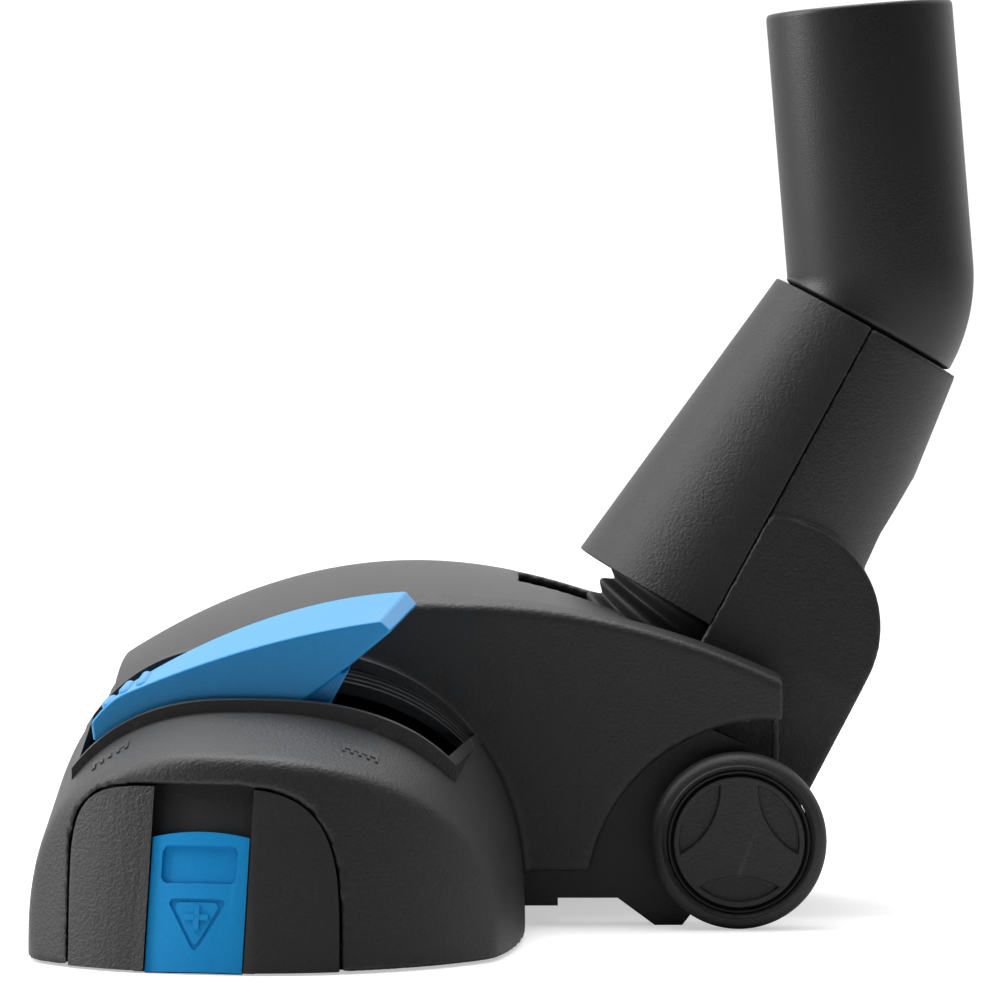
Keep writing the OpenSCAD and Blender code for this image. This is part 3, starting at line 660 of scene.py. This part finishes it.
def hose():
    """Corrugated hose from the duct's throat to the neck."""
    rise = math.radians(THROAT_RISE)
    turn = math.radians(HOSE_TURN)
    cx, cz = THROAT[0] - HOSE_TURN_R * math.sin(rise), THROAT[1] + HOSE_TURN_R * math.cos(rise)
    rings = []
    count, ribs = 110, 7
    for wall in (0, 1):
        for k in range(count + 1):
            t = k / count if wall == 0 else 1 - k / count
            wave = 0.5 - 0.5 * math.cos(2 * math.pi * ribs * t)
            r = HOSE_R - 0.4 + 2.2 * wave ** 0.7 - 1.5 * wall
            a = rise + turn * t
            x, z = cx + HOSE_TURN_R * math.sin(a), cz - HOSE_TURN_R * math.cos(a)
            row = []
            for i in range(72):
                b = 2 * math.pi * i / 72
                u = r * math.cos(b)
                row.append((x - u * math.sin(a), r * math.sin(b), z + u * math.cos(a)))
            rings.append(row)
    n = 72
    verts = [p for row in rings for p in row]
    faces = []
    for k in range(len(rings)):
        m = (k + 1) % len(rings)
        faces += [(k * n + i, k * n + (i + 1) % n, m * n + (i + 1) % n, m * n + i) for i in range(n)]
    tube = piece("bellows", verts, faces)
    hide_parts("flexible_hose")
    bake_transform(tube)
    return tube


def wheel(s, side):
    def place(x, y, h):
        return (WHEEL_X + x, s * (WHEEL_Y + h), WHEEL_Z + y)
    w = WHEEL_W
    tyre = [(HUB_R + 0.1, 0.6), (HUB_R + 0.6, 0.2), (15.6, 0)]
    quarter = [a * math.pi / 16 for a in range(9)]
    back, front = 2.2, 2.6
    tyre += [(WHEEL_R - back + back * math.sin(a), back - back * math.cos(a)) for a in quarter]
    tyre += [(WHEEL_R - front + front * math.cos(a), w - front + front * math.sin(a)) for a in quarter]
    tyre += [(15.5, w), (15.25, w - 0.1), (15.15, w - 0.7), (HUB_R + 0.1, w - 0.8)]
    ring = lathe("tyre_" + side, tyre, place, 128)
    hub = [(AXLE_HOLE_R, 0.6), (HUB_R - 0.1, 0.6), (HUB_R, 0.8), (HUB_R, w - 1.2), (HUB_R - 0.3, w - 0.8)]
    hub += [(HUB_R - 0.6, w - 0.8), (HUB_R - 0.8, w - 1.6), (CAP_R + 0.05, w - 1.6), (CAP_R + 0.05, w - 2.2)]
    hub.append((AXLE_HOLE_R, w - 2.2))
    core = lathe("hub_" + side, hub, place, 128)
    circle = disc(WHEEL_X, WHEEL_Z, CAP_R, 144)
    face = [[(x, s * (WHEEL_Y + h), z) for x, z in circle] for h in (w - 2.1, w - 0.35)]
    cap = skin("wheel_cap_face_" + side, face, smooth=False)
    rim, scoop, far = 12.2, 15.2, 22.1
    meet_x = (far ** 2 + rim ** 2 - scoop ** 2) / (2 * far)
    meet_y = math.sqrt(rim ** 2 - meet_x ** 2)
    reach, turn = math.atan2(meet_y, far - meet_x), math.atan2(meet_y, meet_x)
    scooped = [reach - 2 * reach * k / 24 for k in range(24)]
    lens = [(far - scoop * math.cos(b), scoop * math.sin(b)) for b in scooped]
    lens += [(rim * math.cos(b), rim * math.sin(b)) for b in (-turn + 2 * turn * k / 24 for k in range(24))]
    for i in range(3):
        a = math.radians(270 + 120 * i)
        c, d = math.cos(a), math.sin(a)
        y0, y1 = sorted((s * (WHEEL_Y + w - 1.35), s * (WHEEL_Y + w + 3)))
        turned = [(WHEEL_X + c * u - d * v, WHEEL_Z + d * u + c * v) for u, v in lens]
        cut(cap, prism_y("lens", turned, y0, y1))
    bevel(cap, 0.3, 3)
    rows = ((ring, "wheel_tyre_", "tyre"), (core, "wheel_hub_", "dark"), (cap, "wheel_cap_", "dark"))
    for obj, node, name in rows:
        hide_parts(node + side)
        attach(obj, "wheel_%s_body" % side)
    return ring, core, cap


# ---------------------------------------------------------------- materials
def surface(name, colour, rough, grain, grain_depth, spread=0.25, edge_highlight=0.0, metallic=0.0, coat=0.0):
    """Moulded or plain surface: grain gives its bump in 1/m, spread how much the colour and gloss vary, and
    the number after it how strongly sharp outward edges are painted lighter, a painted highlight.
    """
    mat = bpy.data.materials.new(name)
    mat.use_nodes = True
    nodes, links = mat.node_tree.nodes, mat.node_tree.links
    shader = nodes["Principled BSDF"]
    shader.inputs["Metallic"].default_value = metallic
    shader.inputs["Coat Weight"].default_value = coat
    where = nodes.new("ShaderNodeTexCoord")
    fine = nodes.new("ShaderNodeTexNoise")
    fine.inputs["Scale"].default_value = grain
    fine.inputs["Detail"].default_value = 4.0
    fine.inputs["Roughness"].default_value = 0.62
    broad = nodes.new("ShaderNodeTexNoise")
    broad.inputs["Scale"].default_value = 22.0
    broad.inputs["Detail"].default_value = 3.0
    for tex in (fine, broad):
        links.new(where.outputs["Object"], tex.inputs["Vector"])
    ramp = nodes.new("ShaderNodeValToRGB")
    low = [c * (1 - spread) for c in colour] + [1]
    high = [min(1.0, c * (1 + spread)) for c in colour] + [1]
    ramp.color_ramp.elements[0].position, ramp.color_ramp.elements[0].color = 0.3, low
    ramp.color_ramp.elements[1].position, ramp.color_ramp.elements[1].color = 0.7, high
    links.new(fine.outputs["Fac"], ramp.inputs["Fac"])
    colour_out = ramp.outputs["Color"]
    # Painted highlight: sharp outward edges, found by their pointiness, are given a lighter colour.
    if edge_highlight:
        edge = nodes.new("ShaderNodeNewGeometry")
        highlight_mask = nodes.new("ShaderNodeMapRange")
        highlight_mask.inputs["From Min"].default_value = 0.52
        highlight_mask.inputs["From Max"].default_value = 0.62
        highlight_mask.inputs["To Max"].default_value = edge_highlight
        links.new(edge.outputs["Pointiness"], highlight_mask.inputs["Value"])
        mix = nodes.new("ShaderNodeMix")
        mix.data_type = "RGBA"
        mix.inputs["B"].default_value = [min(1.0, c * 2.2 + 0.03) for c in colour] + [1]
        links.new(highlight_mask.outputs["Result"], mix.inputs["Factor"])
        links.new(colour_out, mix.inputs["A"])
        colour_out = mix.outputs["Result"]
    links.new(colour_out, shader.inputs["Base Color"])
    gloss = nodes.new("ShaderNodeMapRange")
    gloss.inputs["To Min"].default_value = rough - 0.06
    gloss.inputs["To Max"].default_value = rough + 0.06
    links.new(broad.outputs["Fac"], gloss.inputs["Value"])
    links.new(gloss.outputs["Result"], shader.inputs["Roughness"])
    bump = nodes.new("ShaderNodeBump")
    bump.inputs["Strength"].default_value = 1.0
    bump.inputs["Distance"].default_value = grain_depth * MM
    links.new(fine.outputs["Fac"], bump.inputs["Height"])
    links.new(bump.outputs["Normal"], shader.inputs["Normal"])
    return mat


def paint(mat, *objs):
    for obj in objs:
        obj.data.materials.clear()
        obj.data.materials.append(mat)


# ---------------------------------------------------------------- scene
def area_light(name, where, target, size, power_w, colour=(1, 1, 1)):
    data = bpy.data.lights.new(name, "AREA")
    data.shape = "RECTANGLE"
    data.size, data.size_y = size
    data.energy = power_w
    data.color = colour
    obj = bpy.data.objects.new(name, data)
    obj.location = where
    obj.rotation_euler = (Vector(target) - Vector(where)).to_track_quat("-Z", "Y").to_euler()
    bpy.context.scene.collection.objects.link(obj)
    return obj


def plain_floor():
    """Large pale floor, with a little light of its own for the camera, so that it's as pale as the sky."""
    far = 9000
    floor = piece("floor", [(-far, -far, 0), (far, -far, 0), (far, far, 0), (-far, far, 0)], [(0, 1, 2, 3)])
    floor.data.transform(Matrix.Translation((0, 0, -0.1 * MM)))
    mat = bpy.data.materials.new("pale_floor")
    mat.use_nodes = True
    shader = mat.node_tree.nodes["Principled BSDF"]
    shader.inputs["Base Color"].default_value = (0.8, 0.8, 0.8, 1)
    shader.inputs["Roughness"].default_value = 0.8
    shader.inputs["Specular IOR Level"].default_value = 0.0
    shader.inputs["Emission Color"].default_value = (0.5, 0.5, 0.5, 1)
    rays = mat.node_tree.nodes.new("ShaderNodeLightPath")
    mat.node_tree.links.new(rays.outputs["Is Camera Ray"], shader.inputs["Emission Strength"])
    paint(mat, floor)


def sky():
    """White to the camera; as a light it's bright overhead and at the far side, and dim at the near side."""
    world = bpy.data.worlds.new("studio")
    world.use_nodes = True
    nodes, links = world.node_tree.nodes, world.node_tree.links
    shown = nodes["Background"]
    shown.inputs["Color"].default_value = (1, 1, 1, 1)
    shown.inputs["Strength"].default_value = 1.1
    light = nodes.new("ShaderNodeBackground")
    where = nodes.new("ShaderNodeTexCoord")
    along = nodes.new("ShaderNodeVectorMath")
    along.operation = "DOT_PRODUCT"
    along.inputs[1].default_value = (0, 0.75, 1)
    links.new(where.outputs["Generated"], along.inputs[0])
    height = nodes.new("ShaderNodeMapRange")
    height.interpolation_type = "SMOOTHSTEP"
    height.inputs["From Min"].default_value = 0.08
    height.inputs["From Max"].default_value = 0.95
    height.inputs["To Min"].default_value = 0.04
    height.inputs["To Max"].default_value = 1.5
    links.new(along.outputs["Value"], height.inputs["Value"])
    links.new(height.outputs["Result"], light.inputs["Strength"])
    rays = nodes.new("ShaderNodeLightPath")
    mix = nodes.new("ShaderNodeMixShader")
    links.new(rays.outputs["Is Camera Ray"], mix.inputs["Fac"])
    links.new(light.outputs["Background"], mix.inputs[1])
    links.new(shown.outputs["Background"], mix.inputs[2])
    links.new(mix.outputs["Shader"], nodes["World Output"].inputs["Surface"])
    bpy.context.scene.world = world


def studio():
    plain_floor()
    sky()
    area_light("top", (-0.1, 0.25, 1.1), (0, 0, 0.05), (0.8, 0.8), 10)
    area_light("left", (-0.95, 0.0, 0.6), (0.02, -0.03, 0.08), (0.35, 0.7), 8)
    bpy.context.scene.view_settings.view_transform = "Standard"


def camera():
    data = bpy.data.cameras.new("camera")
    data.sensor_width = 36
    data.lens = 36 * 6.04
    data.clip_end = 50
    obj = bpy.data.objects.new("camera", data)
    obj.location = (-0.0039, -1.285, 0.133)
    obj.rotation_euler = (math.radians(90 - 2.105), 0, 0)
    bpy.context.scene.collection.objects.link(obj)
    bpy.context.scene.camera = obj


# In these rows the number after the spread is the strength of the painted highlight on sharp edges.
black = surface("black_grained_plastic", (0.012, 0.012, 0.013), 0.48, 1500, 0.2, 0.3, 0.4)
tube_black = surface("fine_black_plastic", (0.009, 0.009, 0.010), 0.40, 2600, 0.07, 0.2, 0.3)
dark = surface("inner_black_plastic", (0.006, 0.006, 0.007), 0.55, 1800, 0.12, 0.25, 0.15)
blue = surface("blue_plastic", (0.0, 0.25, 0.60), 0.42, 1800, 0.05, 0.06, 0.15)
rubber = surface("black_rubber", (0.012, 0.012, 0.012), 0.62, 1200, 0.1, 0.3, 0.1)
tyre_mat = surface("tyre_rubber", (0.016, 0.016, 0.016), 0.5, 1700, 0.12, 0.3, 0.25)
steel = surface("bright_steel", (0.60, 0.60, 0.61), 0.3, 900, 0.03, 0.08, 0.0, metallic=1.0)
pile = surface("red_pile", (0.32, 0.02, 0.02), 0.85, 3500, 0.5, 0.5)
bristle = surface("nylon_tufts", (0.05, 0.05, 0.055), 0.5, 4200, 0.5, 0.4)

camera()
studio()
shell = housing()
paint(black, shell, pedal_rim(), ribbed_strip(), comb_marks())
for s, side in ((-1, "left"), (1, "right")):
    cap, back = end_cap(s, side)
    paint(black, cap)
    paint(dark, back)
    paint(blue, slider(s, side))
    ring, core, disc_cap = wheel(s, side)
    paint(tyre_mat, ring)
    paint(dark, core)
    paint(black, disc_cap)
paint(blue, *pedal())
paint(black, neck_front(), neck_rear())
paint(tube_black, elbow())
paint(rubber, hose())

kept = {
    "glide_plate": (steel, 0.25), "base_plate": (dark, 0.3), "lint_strips": (pile, 0.2),
    "suction_duct": (dark, 0.4), "rear_chassis": (dark, 0.5), "axle_left": (steel, 0.2),
    "axle_right": (steel, 0.2), "base_screws": (steel, 0.1), "chassis_screws": (steel, 0.1),
    "pedal_axle": (steel, 0.2),
    "pedal_spring": (steel, 0.0), "brush_frame": (dark, 0.3), "brush_strip_front": (bristle, 0.1),
    "brush_strip_rear": (bristle, 0.1), "squeegee_lip": (rubber, 0.2), "hose_ring": (dark, 0.3),
    "neck_screws": (steel, 0.1), "swivel_clip": (steel, 0.1), "swivel_seal": (rubber, 0.1),
    "axle_clip_left": (steel, 0.1), "axle_clip_right": (steel, 0.1), "slider_springs": (steel, 0.0),
}
for name, (mat, width) in kept.items():
    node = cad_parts[name]
    paint(mat, node)
    if width:
        bevel(node, width, 2)
